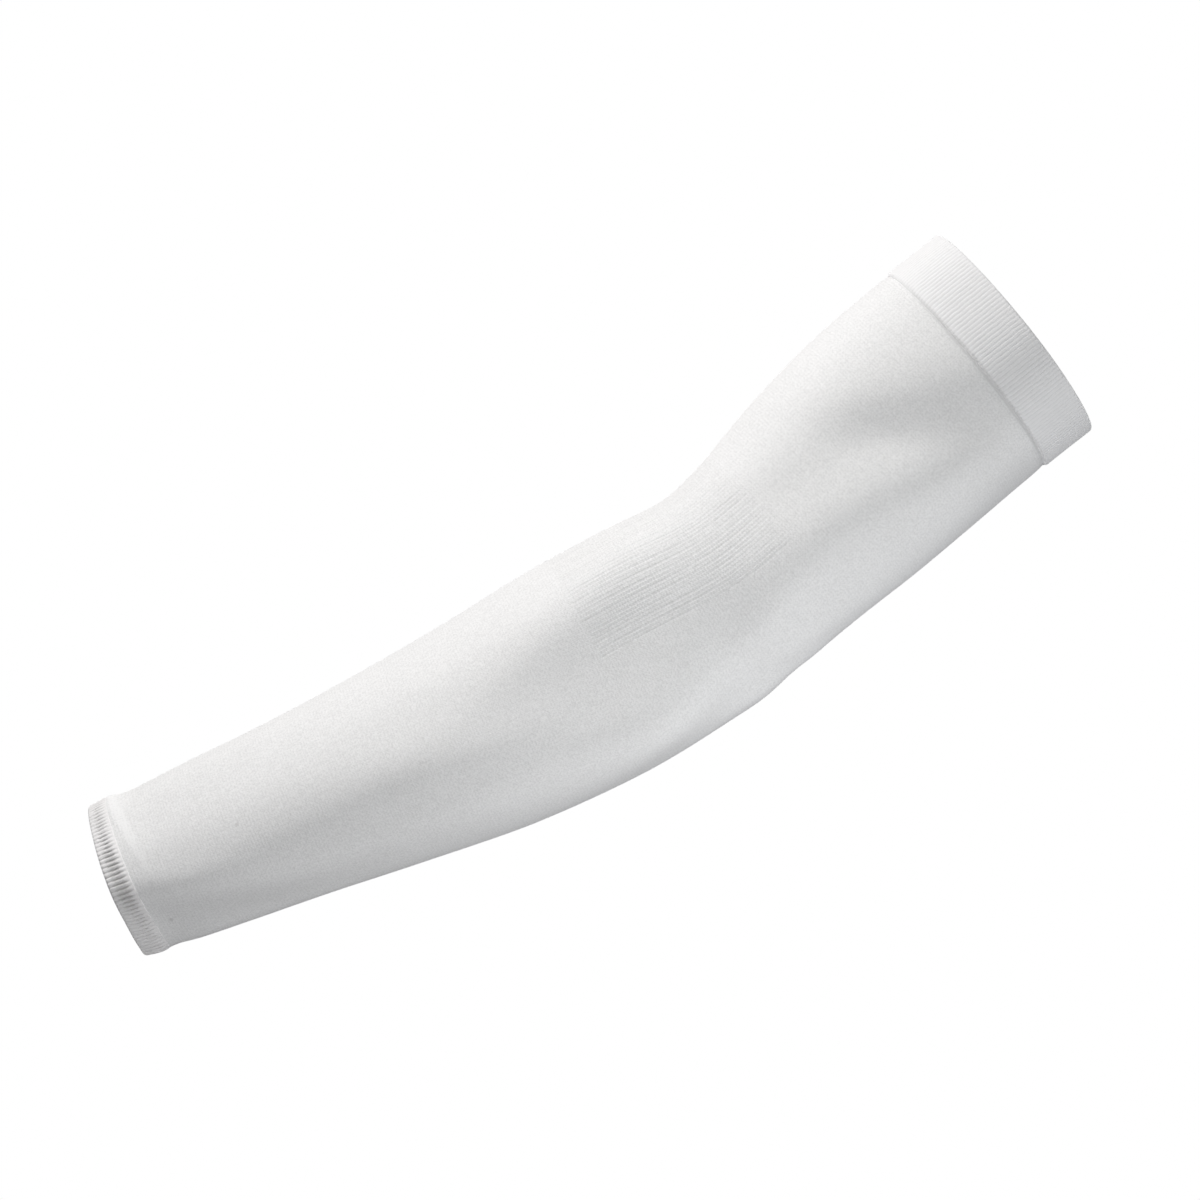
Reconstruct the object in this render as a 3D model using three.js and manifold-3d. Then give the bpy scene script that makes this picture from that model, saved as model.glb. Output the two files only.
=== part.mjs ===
// Sun protection arm sleeve: a seamless tube of fine white knit, in the bent form that it has on an arm.
// Millimetres, +Z up. The sleeve runs along X from the wrist (at -X) to the upper arm, the crook of the elbow
// faces +Z and the near side of the arm faces -Y. The origin is the centre of the upper mouth.

import * as THREE from "three";
import { LoftGeometry } from "three/addons/geometries/LoftGeometry.js";
import { mergeVertices } from "three/addons/utils/BufferGeometryUtils.js";
import Module from "manifold-3d";

// Knit thicknesses and the space left between neighbouring pieces
const KNIT_THICKNESS = 1.0;
const BAND_THICKNESS = 1.8;
const CUFF_THICKNESS = 1.6;
const PIECE_GAP = 0.3;

// Lengths along the middle line, counted from the wrist rim
const CUFF_LENGTH = 10;
const BAND_LENGTH = 23.5;
const PANEL_START = 211;
const PANEL_END = 301;

// How far the ribbed ends stand proud of the plain knit, and how far their rims are rounded
const BAND_LIFT = 0.8;
const CUFF_LIFT = 0.4;
const RIM_ROUNDING = 1.2;

// Ribs: how many there are, and how far a crest stands above a groove
const BAND_RIBS = 170;
const BAND_RIB_HEIGHT = 0.5;
const CUFF_RIBS = 96;
const CUFF_RIB_HEIGHT = 0.6;
const PANEL_RIBS = 42;
const PANEL_RIB_HEIGHT = 0.7;
const PANEL_BORDER = 2;

// Places around a section are shares of its girth: 0 at the crook, 0.25 at the near side, 0.5 at the elbow's
// point. The ribbed elbow panel covers the half of the girth on the crook's side.
const PANEL_HALF_SHARE = 0.25;

// Facets of the surfaces
const FOREARM_ROWS = 11;
const PANEL_ROWS = 8;
const UPPER_ARM_ROWS = 5;
const ELBOW_SIDE_FACETS = 24;
const INSIDE_FACETS = 32;
const GIRTH_DIVISIONS = 720;

// Sections of the arm from the wrist rim to the upper rim: the middle line's x and z, and the half sizes.
const SECTIONS = [
  { x: -415, z: -2.0, halfHeight: 31.0, halfDepth: 27.5 },
  { x: -408, z: -3.5, halfHeight: 32.0, halfDepth: 28.0 },
  { x: -400, z: -5.0, halfHeight: 31.5, halfDepth: 28.0 },
  { x: -390, z: -7.0, halfHeight: 32.5, halfDepth: 28.5 },
  { x: -370, z: -10.0, halfHeight: 34.0, halfDepth: 29.5 },
  { x: -340, z: -14.5, halfHeight: 36.0, halfDepth: 31.0 },
  { x: -300, z: -20.0, halfHeight: 39.5, halfDepth: 33.0 },
  { x: -255, z: -25.0, halfHeight: 44.0, halfDepth: 35.5 },
  { x: -215, z: -27.5, halfHeight: 46.5, halfDepth: 37.0 },
  { x: -180, z: -28.5, halfHeight: 45.5, halfDepth: 37.5 },
  { x: -150, z: -27.5, halfHeight: 42.5, halfDepth: 37.0 },
  { x: -125, z: -23.0, halfHeight: 43.0, halfDepth: 37.0 },
  { x: -95, z: -16.0, halfHeight: 46.5, halfDepth: 38.0 },
  { x: -60, z: -9.0, halfHeight: 48.5, halfDepth: 38.5 },
  { x: -25, z: -3.5, halfHeight: 48.5, halfDepth: 39.0 },
  { x: 0, z: 0.0, halfHeight: 48.5, halfDepth: 39.0 },
];

// Soft folds of the near side: centre along and around the sleeve, reach each way, and height.
// A height below 0 is a hollow.
const FOLDS = [
  { name: "roll after the cuff", along: 16, around: 0.13, reach: 6, spread: 0.11, height: 0.8 },
  { name: "hollow before the panel", along: 187, around: 0.18, reach: 26, spread: 0.1, height: -2.0 },
  { name: "swelling before the elbow", along: 203, around: 0.37, reach: 16, spread: 0.09, height: 0.8 },
  { name: "valley under the elbow", along: 234, around: 0.38, reach: 13, spread: 0.08, height: -1.8 },
  { name: "point of the elbow", along: 264, around: 0.4, reach: 17, spread: 0.09, height: 1.0 },
  { name: "hollow of the upper arm", along: 362, around: 0.2, reach: 42, spread: 0.1, height: -2.0 },
];

// The middle line and the half sizes that go with it, as smooth curves through the sections
const middleLine = new THREE.CatmullRomCurve3(
  SECTIONS.map((row) => new THREE.Vector3(row.x, 0, row.z)), false, "catmullrom");
const halfSizes = new THREE.CatmullRomCurve3(
  SECTIONS.map((row) => new THREE.Vector3(row.halfDepth, 0, row.halfHeight)), false, "catmullrom");
const SLEEVE_LENGTH = middleLine.getLength();
const BODY_START = CUFF_LENGTH + PIECE_GAP;
const BAND_START = SLEEVE_LENGTH - BAND_LENGTH;
const BODY_END = BAND_START - PIECE_GAP;

// Height of all folds at a place on the knit.
function foldHeight(along, around) {
  let height = 0;
  for (const fold of FOLDS) {
    const lengthways = (along - fold.along) / fold.reach;
    const roundways = (around - fold.around) / fold.spread;
    height += fold.height * Math.exp(-lengthways * lengthways - roundways * roundways);
  }
  return height;
}

// One section of the sleeve as a ring of points, lifted off the knit's surface by lift(around).
function ring(along, shares, lift) {
  const share = THREE.MathUtils.clamp(along / SLEEVE_LENGTH, 0, 1);
  const t = middleLine.getUtoTmapping(share);
  const ahead = middleLine.getTangent(t);
  const centre = middleLine.getPoint(t).addScaledVector(ahead, along - share * SLEEVE_LENGTH);
  const up = new THREE.Vector3(-ahead.z, 0, ahead.x);
  const near = new THREE.Vector3(0, -1, 0);
  const half = halfSizes.getPoint(t);
  const girth = new THREE.EllipseCurve(0, 0, half.z, half.x);
  girth.arcLengthDivisions = GIRTH_DIVISIONS;
  return shares.map((around) => {
    const onGirth = girth.getPointAt(THREE.MathUtils.euclideanModulo(around, 1));
    const outward = new THREE.Vector2(onGirth.x / half.z ** 2, onGirth.y / half.x ** 2).normalize();
    onGirth.addScaledVector(outward, foldHeight(along, around) + lift(around));
    return centre.clone().addScaledVector(up, onGirth.x).addScaledVector(near, onGirth.y);
  });
}

// Numbers from start to end in equal steps, both ends among them.
function spaced(start, end, steps) {
  return Array.from({ length: steps + 1 }, (_, i) => start + ((end - start) * i) / steps);
}

// Evenly spaced shares once around the girth, starting at the crook.
function sharesAround(count) {
  return Array.from({ length: count }, (_, i) => i / count);
}

// Shares for the body: two to each panel rib on the crook's side, then the plain elbow side.
function bodyShares() {
  const panel = spaced(-PANEL_HALF_SHARE, PANEL_HALF_SHARE, 2 * PANEL_RIBS);
  const plain = spaced(PANEL_HALF_SHARE, 1 - PANEL_HALF_SHARE, ELBOW_SIDE_FACETS);
  return [...panel, ...plain.slice(1, -1)];
}

// Rib height around the girth: a zigzag between crest and groove, two facets to a rib.
function zigzag(around, ribsPerGirth, height) {
  const phase = THREE.MathUtils.euclideanModulo(around * ribsPerGirth, 1);
  return height * (Math.abs(2 * phase - 1) - 0.5);
}

const wasm = await Module();
wasm.setup();

// A closed loft through rings as a solid for cutting.
function loftSolid(rings) {
  const loft = new LoftGeometry(rings, { closed: true, capStart: true, capEnd: true });
  const bare = new THREE.BufferGeometry();
  bare.setAttribute("position", loft.attributes.position);
  bare.setIndex(loft.index);
  const welded = mergeVertices(bare);
  return new wasm.Manifold(new wasm.Mesh({
    numProp: 3,
    vertProperties: new Float32Array(welded.attributes.position.array),
    triVerts: new Uint32Array(welded.index.array),
  }));
}

// A knit wall: the outer rings' solid with the inner rings' solid cut out of it, open at both ends.
function knitWall(outerRings, innerRings) {
  const wall = loftSolid(outerRings).subtract(loftSolid(innerRings)).getMesh();
  const geometry = new THREE.BufferGeometry();
  geometry.setAttribute("position", new THREE.BufferAttribute(wall.vertProperties, 3));
  geometry.setIndex(new THREE.BufferAttribute(wall.triVerts, 1));
  geometry.computeVertexNormals();
  return geometry;
}

// Rings of a wall's inside, carried past both ends so that the cut comes out clean.
function insideRings(stations, depth) {
  const overshoot = PIECE_GAP;
  const reached = [stations[0] - overshoot, ...stations.slice(1, -1), stations.at(-1) + overshoot];
  return reached.map((along) => ring(along, sharesAround(INSIDE_FACETS), () => -depth));
}

// The ribbed elbow panel is knitted into the body, so its ribs are relief on the body's wall.
function bodyGeometry() {
  const shares = bodyShares();
  const ribsPerGirth = PANEL_RIBS / (2 * PANEL_HALF_SHARE);
  const stations = [
    ...spaced(BODY_START, PANEL_START, FOREARM_ROWS),
    ...spaced(PANEL_START + PANEL_BORDER, PANEL_END - PANEL_BORDER, PANEL_ROWS),
    ...spaced(PANEL_END, BODY_END, UPPER_ARM_ROWS),
  ];
  const outer = stations.map((along) => {
    const ribbed = along > PANEL_START && along < PANEL_END;
    const lift = (around) => {
      const onPanel = ribbed && around > -PANEL_HALF_SHARE && around < PANEL_HALF_SHARE;
      return onPanel ? zigzag(around, ribsPerGirth, PANEL_RIB_HEIGHT) : 0;
    };
    return ring(along, shares, lift);
  });
  return knitWall(outer, insideRings(stations, KNIT_THICKNESS));
}

// A ribbed end of the sleeve from start to end; the rim at `rim` is rounded in.
function ribbedEnd(start, end, rim, size) {
  const shares = sharesAround(2 * size.ribs);
  const shoulder = rim === end ? end - RIM_ROUNDING : start + RIM_ROUNDING;
  const stations = [start, shoulder, end];
  const outer = stations.map((along) => {
    const lift = size.lift - (along === rim ? RIM_ROUNDING / 2 : 0);
    return ring(along, shares, (around) => lift + zigzag(around, size.ribs, size.ribHeight));
  });
  return knitWall(outer, insideRings([start, end], size.thickness - size.lift));
}

const bandGeometry = ribbedEnd(BAND_START, SLEEVE_LENGTH, SLEEVE_LENGTH, {
  ribs: BAND_RIBS, ribHeight: BAND_RIB_HEIGHT, lift: BAND_LIFT, thickness: BAND_THICKNESS,
});
const cuffGeometry = ribbedEnd(0, CUFF_LENGTH, 0, {
  ribs: CUFF_RIBS, ribHeight: CUFF_RIB_HEIGHT, lift: CUFF_LIFT, thickness: CUFF_THICKNESS,
});

const bodyKnit = new THREE.MeshStandardMaterial({ color: 0xf3f2f0, roughness: 0.9, metalness: 0 });
const bandKnit = new THREE.MeshStandardMaterial({ color: 0xefeeec, roughness: 0.92, metalness: 0 });
const cuffKnit = new THREE.MeshStandardMaterial({ color: 0xe9e7e4, roughness: 0.92, metalness: 0 });

function piece(name, geometry, material) {
  const mesh = new THREE.Mesh(geometry, material);
  mesh.name = name;
  return mesh;
}

const sleeve = new THREE.Group();
sleeve.add(piece("sleeve_body", bodyGeometry(), bodyKnit));
sleeve.add(piece("upper_band", bandGeometry, bandKnit));
sleeve.add(piece("wrist_cuff", cuffGeometry, cuffKnit));

export default sleeve;
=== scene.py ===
import math
from collections import namedtuple

import bpy
import numpy as np
from mathutils import Matrix, Vector


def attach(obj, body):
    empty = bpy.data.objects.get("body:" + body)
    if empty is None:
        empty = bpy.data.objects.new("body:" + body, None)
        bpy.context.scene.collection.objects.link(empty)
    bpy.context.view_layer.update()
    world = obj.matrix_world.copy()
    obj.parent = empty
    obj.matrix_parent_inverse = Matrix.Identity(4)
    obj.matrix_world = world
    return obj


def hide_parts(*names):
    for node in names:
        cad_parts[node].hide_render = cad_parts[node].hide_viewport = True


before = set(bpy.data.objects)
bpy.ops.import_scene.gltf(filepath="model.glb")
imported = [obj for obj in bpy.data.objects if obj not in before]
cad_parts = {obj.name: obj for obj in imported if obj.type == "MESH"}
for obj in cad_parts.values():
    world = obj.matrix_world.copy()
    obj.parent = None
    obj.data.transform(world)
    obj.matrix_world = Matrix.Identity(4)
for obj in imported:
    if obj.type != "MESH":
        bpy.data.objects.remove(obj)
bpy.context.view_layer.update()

TAU = 2 * math.pi

# Sizes of the sleeve in metres. Lengths run along its middle line from the wrist rim.
CUFF_LENGTH = 0.0065
BAND_LENGTH = 0.0235
PANEL_START = 0.211
PANEL_END = 0.301
PIECE_GAP = 0.0003
KNIT_THICKNESS = 0.0014
BAND_THICKNESS = 0.0018
CUFF_THICKNESS = 0.0016
BAND_LIFT = 0.0005
CUFF_LIFT = 0.0002

# Ribs round the whole girth of the band and the cuff, their heights, and the power that rounds their crests.
# The middle is the share of the height that stays level with the wall.
BAND_RIBS = 170
CUFF_RIBS = 96
BAND_RIB_HEIGHT = 0.00012
CUFF_RIB_HEIGHT = 0.00045
RIB_ROUNDNESS = 0.6
RIB_MIDDLE = 0.6

# Ribs stray sideways by this share of the step from rib to rib, and some are pulled tighter than others.
# Both have so many marks for each rib round the girth and for each metre along.
RIB_WANDER = 0.4
BENDS_FOR_EACH_RIB = 0.4
BENDS_FOR_EACH_METRE = 250.0
PULLS_FOR_EACH_RIB = 1.5
PULLS_FOR_EACH_METRE = 90.0

# The elbow panel covers this share of the girth each way from the crook, and fans out towards the upper arm.
PANEL_RIBS = 42
PANEL_HALF_SHARE = 0.243
PANEL_FAN = 0.09
PANEL_LIFT = 0.00006

# Its grooves are narrow, with a faint one after each deep one. They begin raggedly at the lower end, and fade
# out at the upper end and, in shares of the girth, at the borders.
PANEL_RIB_HEIGHT = 0.00016
GROOVE_SHARPNESS = 6.0
FAINT_GROOVE = 0.75
PANEL_BEGINS = 0.0015
PANEL_FULL = 0.0035
PANEL_RAGGED = 0.004
RAGGED_MARKS_FOR_EACH_RIB = 1.7
PANEL_PULLS_FOR_EACH_RIB = 2.0
PANEL_PULLS_FOR_EACH_METRE = 30.0
PANEL_FADE = 0.006
PANEL_BORDER = 0.004

# The cuff's seam slants: it is nearer the rim over the crook's side and further under the arm.
# The knit is shifted by this much at the seam, and the shift dies out along the forearm.
CUFF_SLANT = 0.0018
SLANT_FADE = 0.010
SLANT_END = 0.030

# How far the tube is tucked in where the cuff and the band begin, and how far the tuck reaches
CUFF_TUCK = 0.0003
CUFF_TUCK_REACH = 0.0036
BAND_TUCK = 0.0005
BAND_TUCK_REACH = 0.006

# Unevenness of the walls: its height, its marks for each metre, and the ring that the marks are laid on
UNEVENNESS = 0.00015
UNEVEN_MARKS = 45.0
UNEVEN_RING = 0.04

# Points of the middle line, steps between the rows of the walls, close rows at the panel's borders and the
# tucks, and columns. A little is added where a row number is worked out, so that rounding can't miss it.
LINE_POINTS = 1501
BODY_STEP = 0.0042
BODY_INSIDE_STEP = 0.008
BORDER_CLEARANCE = 0.003
BORDER_ROWS = np.arange(-0.0016, 0.0017, 0.0004)
TUCK_ROWS = (0.0008, 0.0016, 0.0025, 0.0034)
WELT_START = 0.0002
WELT_STEP = 0.0006
WELT_INSIDE_STEP = 0.003
WELT_FOLD_ROWS = 9
COLUMNS_FOR_A_PANEL_RIB = 9
COLUMNS_FOR_A_RIB = 8
ELBOW_COLUMNS = 130
ROUNDING = 0.0001

# The soft folds die out from this far before the band's seam to this far past it.
FOLD_FADE_BEFORE = 0.012
FOLD_FADE_PAST = 0.006

# Dull specks in the white, with their colour and the girth of the sleeve there
Speck = namedtuple("Speck", "along around radius strength")
SPECK_GIRTH = 0.19
SPECK_COLOUR = (0.42, 0.41, 0.40)
SPECKS = {
    "by the cuff": Speck(0.0166, 0.382, 0.0014, 0.38),
    "on the wrist": Speck(0.0556, 0.232, 0.0010, 0.28),
}

# Sections of the arm from the wrist rim to the upper rim
SECTION_COLUMNS = ("x", "z", "half_height", "half_depth")
SECTIONS = np.array((
    (-0.415, -0.0023, 0.0310, 0.0275),
    (-0.408, -0.0035, 0.0320, 0.0280),
    (-0.400, -0.0050, 0.0315, 0.0280),
    (-0.390, -0.0070, 0.0325, 0.0285),
    (-0.370, -0.0100, 0.0340, 0.0295),
    (-0.340, -0.0147, 0.0360, 0.0310),
    (-0.300, -0.0206, 0.0398, 0.0330),
    (-0.255, -0.0261, 0.0445, 0.0355),
    (-0.215, -0.0283, 0.0469, 0.0370),
    (-0.180, -0.0286, 0.0456, 0.0375),
    (-0.150, -0.0275, 0.0425, 0.0370),
    (-0.125, -0.0230, 0.0430, 0.0370),
    (-0.095, -0.0160, 0.0465, 0.0380),
    (-0.060, -0.0090, 0.0485, 0.0385),
    (-0.025, -0.0032, 0.0485, 0.0390),
    (0.000, 0.0000, 0.0485, 0.0390),
))

# Soft folds of the near side: centre along the sleeve and around it (share of the girth from the crook),
# reach along, spread around, height off the arm, and how far round the fold leans for each metre along
Fold = namedtuple("Fold", "along around reach spread height lean")
FOLD_TABLE = {
    "roll after the cuff": (0.0133, 0.105, 0.0045, 0.070, 0.0008, 28.0),
    "hollow of the wrist's side": (0.008, 0.352, 0.060, 0.089, -0.0026, 0.96),
    "ridge of the wrist's side": (0.032, 0.318, 0.041, 0.053, 0.0028, 1.08),
    "flat over the wrist": (0.036, 0.128, 0.090, 0.075, -0.0025, 0.40),
    "roll under the wrist": (0.042, 0.460, 0.062, 0.026, 0.0016, -0.17),
    "crease of the forearm": (0.125, 0.316, 0.064, 0.030, -0.0010, -0.11),
    "swelling of the forearm": (0.141, 0.354, 0.090, 0.063, 0.0022, 0.64),
    "flat over the forearm": (0.152, 0.089, 0.059, 0.056, -0.0028, -0.08),
    "tuck under the forearm": (0.185, 0.490, 0.075, 0.070, -0.0016, 0.0),
    "long ridge to the elbow": (0.181, 0.326, 0.090, 0.070, 0.0033, 1.26),
    "start of the crook's ridge": (0.199, 0.165, 0.074, 0.042, 0.0017, -0.88),
    "hollow of the elbow's side": (0.208, 0.288, 0.059, 0.102, -0.0033, -1.25),
    "valley under the elbow": (0.249, 0.413, 0.051, 0.041, -0.0024, -0.92),
    "crease across the elbow": (0.254, 0.344, 0.017, 0.075, -0.0028, -1.85),
    "point of the elbow": (0.256, 0.480, 0.012, 0.045, 0.0009, 0.0),
    "ridge of the crook": (0.260, 0.144, 0.090, 0.058, 0.0033, 0.17),
    "ridge in the elbow's crease": (0.266, 0.335, 0.025, 0.027, 0.0007, -1.10),
    "nick past the elbow's point": (0.2675, 0.490, 0.006, 0.060, -0.0006, 0.0),
    "nick under the elbow": (0.270, 0.438, 0.022, 0.025, -0.0010, 0.56),
    "dip past the crook": (0.311, 0.133, 0.023, 0.091, -0.0032, -0.77),
    "swelling of the upper arm": (0.334, 0.317, 0.069, 0.113, 0.0030, 1.15),
    "crease of the upper arm": (0.344, 0.212, 0.022, 0.055, -0.0024, 2.44),
    "hollow of the upper arm": (0.359, 0.272, 0.090, 0.056, -0.0031, 1.45),
    "ridge before the band": (0.386, 0.235, 0.018, 0.070, 0.0006, 0.0),
    "tuck before the band": (0.387, 0.444, 0.041, 0.055, -0.0018, -0.45),
}
FOLDS = {name: Fold(*row) for name, row in FOLD_TABLE.items()}
BAND_SWELLING = Fold(0.410, 0.290, 0.030, 0.100, 0.0022, 0.0)


# Node trees written as arithmetic

def socket_of(sockets, label):
    """The socket with this identifier, or else the one with this name."""
    for socket in sockets:
        if socket.identifier == label:
            return socket
    return sockets[label]


def feed(tree, socket, value):
    """Joins a value that a tree works out to a socket, or sets the socket to a plain value."""
    if isinstance(value, Field):
        value = value.socket
    if isinstance(value, bpy.types.NodeSocket):
        tree.links.new(value, socket)
    else:
        socket.default_value = value


def add_node(tree, kind, inputs=None, **settings):
    """A new node with its settings made and its inputs fed."""
    node = tree.nodes.new(kind)
    for name, value in settings.items():
        setattr(node, name, value)
    for label, value in (inputs or {}).items():
        feed(tree, socket_of(node.inputs, label), value)
    return node


class Field:
    """A number that a node tree works out, so that a rule reads as plain arithmetic."""

    def __init__(self, tree, socket):
        self.tree = tree
        self.socket = socket

    def maths(self, operation, *others):
        """The result of one step of arithmetic on this number and others."""
        node = self.tree.nodes.new("ShaderNodeMath")
        node.operation = operation
        for socket, value in zip(node.inputs, (self, *others)):
            feed(self.tree, socket, value)
        return Field(self.tree, node.outputs[0])

    def __add__(self, other):
        return self.maths("ADD", other)

    def __sub__(self, other):
        return self.maths("SUBTRACT", other)

    def __mul__(self, other):
        return self.maths("MULTIPLY", other)

    def __truediv__(self, other):
        return self.maths("DIVIDE", other)

    def __pow__(self, other):
        return self.maths("POWER", other)

    def ramp(self, low, high, start=0.0, end=1.0):
        """Goes smoothly from start to end while this number goes from low to high."""
        ends = {"Value": self, "From Min": low, "From Max": high, "To Min": start, "To Max": end}
        node = add_node(self.tree, "ShaderNodeMapRange", ends, interpolation_type="SMOOTHSTEP")
        return Field(self.tree, node.outputs["Result"])


def split(tree, vector):
    """The three numbers of a vector."""
    node = add_node(tree, "ShaderNodeSeparateXYZ", {"Vector": vector})
    return [Field(tree, socket) for socket in node.outputs]


def combine(tree, x, y, z):
    """A vector of three numbers."""
    return add_node(tree, "ShaderNodeCombineXYZ", {"X": x, "Y": y, "Z": z}).outputs["Vector"]


def noise(tree, place, scale, detail):
    """Soft random marks at a place, most of them between 0.3 and 0.7."""
    inputs = {"Vector": place, "Scale": scale, "Detail": detail, "Roughness": 0.6}
    return Field(tree, add_node(tree, "ShaderNodeTexNoise", inputs).outputs["Fac"])


def spread_out(marks, start, end):
    """Soft random marks spread out from start to end."""
    return marks.ramp(0.3, 0.7, start, end)


def new_tree(name, inputs):
    """A Geometry Nodes tree with a geometry in and out, and its named inputs as the tree sees them."""
    tree = bpy.data.node_groups.new(name, "GeometryNodeTree")
    for label, kind in {"Geometry": "Geometry", **inputs}.items():
        tree.interface.new_socket(label, in_out="INPUT", socket_type=f"NodeSocket{kind}")
    tree.interface.new_socket("Geometry", in_out="OUTPUT", socket_type="NodeSocketGeometry")
    sockets = tree.nodes.new("NodeGroupInput").outputs
    given = {"Geometry": sockets["Geometry"]}
    for label, kind in inputs.items():
        given[label] = Field(tree, sockets[label]) if kind in ("Float", "Int") else sockets[label]
    return tree, given


def finish_tree(tree, pattern, given, placer):
    """Lays a tree's flat pattern on the arm, and ends the tree with real geometry in its finish."""
    laid = add_node(tree, "GeometryNodeGroup", node_tree=placer)
    for label in ("Arm Line", "Unevenness"):
        feed(tree, laid.inputs[label], given[label])
    feed(tree, laid.inputs["Geometry"], pattern)
    closed = add_node(tree, "GeometryNodeMergeByDistance", {
        "Geometry": laid.outputs["Geometry"], "Distance": 1e-6,
    })
    smooth = add_node(tree, "GeometryNodeSetShadeSmooth", {"Geometry": closed.outputs["Geometry"]})
    real = add_node(tree, "GeometryNodeRealizeInstances", {"Geometry": smooth.outputs["Geometry"]})
    finished = add_node(tree, "GeometryNodeSetMaterial", {
        "Geometry": real.outputs["Geometry"], "Material": given["Finish"],
    })
    add_node(tree, "NodeGroupOutput", {"Geometry": finished.outputs["Geometry"]})
    return tree


def store(tree, geometry, name, value, data_type, domain):
    """Writes a value on the geometry under a name, for the finish to read."""
    inputs = {"Geometry": geometry, "Name": name, "Value": value}
    node = add_node(tree, "GeometryNodeStoreNamedAttribute", inputs, data_type=data_type, domain=domain)
    return node.outputs["Geometry"]


def grown(name, start, tree, values):
    """The plain mesh that a tree makes of a starting object, which is then taken away."""
    modifier = start.modifiers.new(name, "NODES")
    modifier.node_group = tree
    for item in tree.interface.items_tree:
        if item.in_out == "INPUT" and item.name in values:
            modifier[item.identifier] = values[item.name]
    evaluated = start.evaluated_get(bpy.context.evaluated_depsgraph_get())
    mesh = bpy.data.meshes.new_from_object(evaluated)
    mesh.name = name
    bpy.data.objects.remove(start)
    piece = bpy.data.objects.new(name, mesh)
    bpy.context.scene.collection.objects.link(piece)
    return piece


# The arm that the knit follows

def smooth_rows(rows, count):
    """A smooth curve through all rows (Catmull-Rom), as count rows at even steps of the row number."""
    before = 2 * rows[0] - rows[1]
    after = 2 * rows[-1] - rows[-2]
    padded = np.vstack([before, rows, after])
    place = np.linspace(0, len(rows) - 1, count)
    first = np.minimum(place.astype(int), len(rows) - 2)
    t = (place - first)[:, None]
    p0, p1, p2, p3 = (padded[first + step] for step in range(4))
    slope1 = (p2 - p0) / 2
    slope2 = (p3 - p1) / 2
    bend = 2 * p1 - 2 * p2 + slope1 + slope2
    turn = 3 * p2 - 3 * p1 - 2 * slope1 - slope2
    return ((bend * t + turn) * t + slope1) * t + p1


def mesh_object(name, points, edges):
    """A new object of points and edges."""
    mesh = bpy.data.meshes.new(name)
    mesh.from_pydata([tuple(map(float, point)) for point in points], edges, [])
    made = bpy.data.objects.new(name, mesh)
    bpy.context.scene.collection.objects.link(made)
    return made


def arm_line():
    """The middle line as a chain of edges that carries the half sizes, and its length."""
    rows = smooth_rows(SECTIONS, LINE_POINTS)
    column = dict(zip(SECTION_COLUMNS, rows.T))
    points = np.column_stack([column["x"], np.zeros(len(rows)), column["z"]])
    line = mesh_object("arm_line", points, [(i, i + 1) for i in range(len(rows) - 1)])
    for label in ("half_height", "half_depth"):
        attribute = line.data.attributes.new(label, "FLOAT", "POINT")
        attribute.data.foreach_set("value", column[label].astype(np.float32))
    return line, float(np.linalg.norm(np.diff(points, axis=0), axis=1).sum())


def square_distance(fold, along, around):
    """Square of the distance from a fold's middle, counted in its reach along and its spread around."""
    beyond = along - fold.along
    lengthways = beyond / fold.reach
    apart = around - fold.around - beyond * fold.lean
    roundways = (apart - (apart + 0.5).maths("FLOOR")) / fold.spread
    return lengthways * lengthways + roundways * roundways


def one_fold(fold, along, around):
    """Height of one soft fold at a place of the knit."""
    return (square_distance(fold, along, around) * -1.0).maths("EXPONENT") * fold.height


def fold_height(along, around, band_start):
    """Height of all soft folds at a place of the knit. The band only has its own swelling."""
    total = along * 0.0
    for fold in FOLDS.values():
        total = total + one_fold(fold, along, around)
    kept = along.ramp(band_start - FOLD_FADE_BEFORE, band_start + FOLD_FADE_PAST, 1.0, 0.0)
    return total * kept + one_fold(BAND_SWELLING, along, around)


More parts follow.
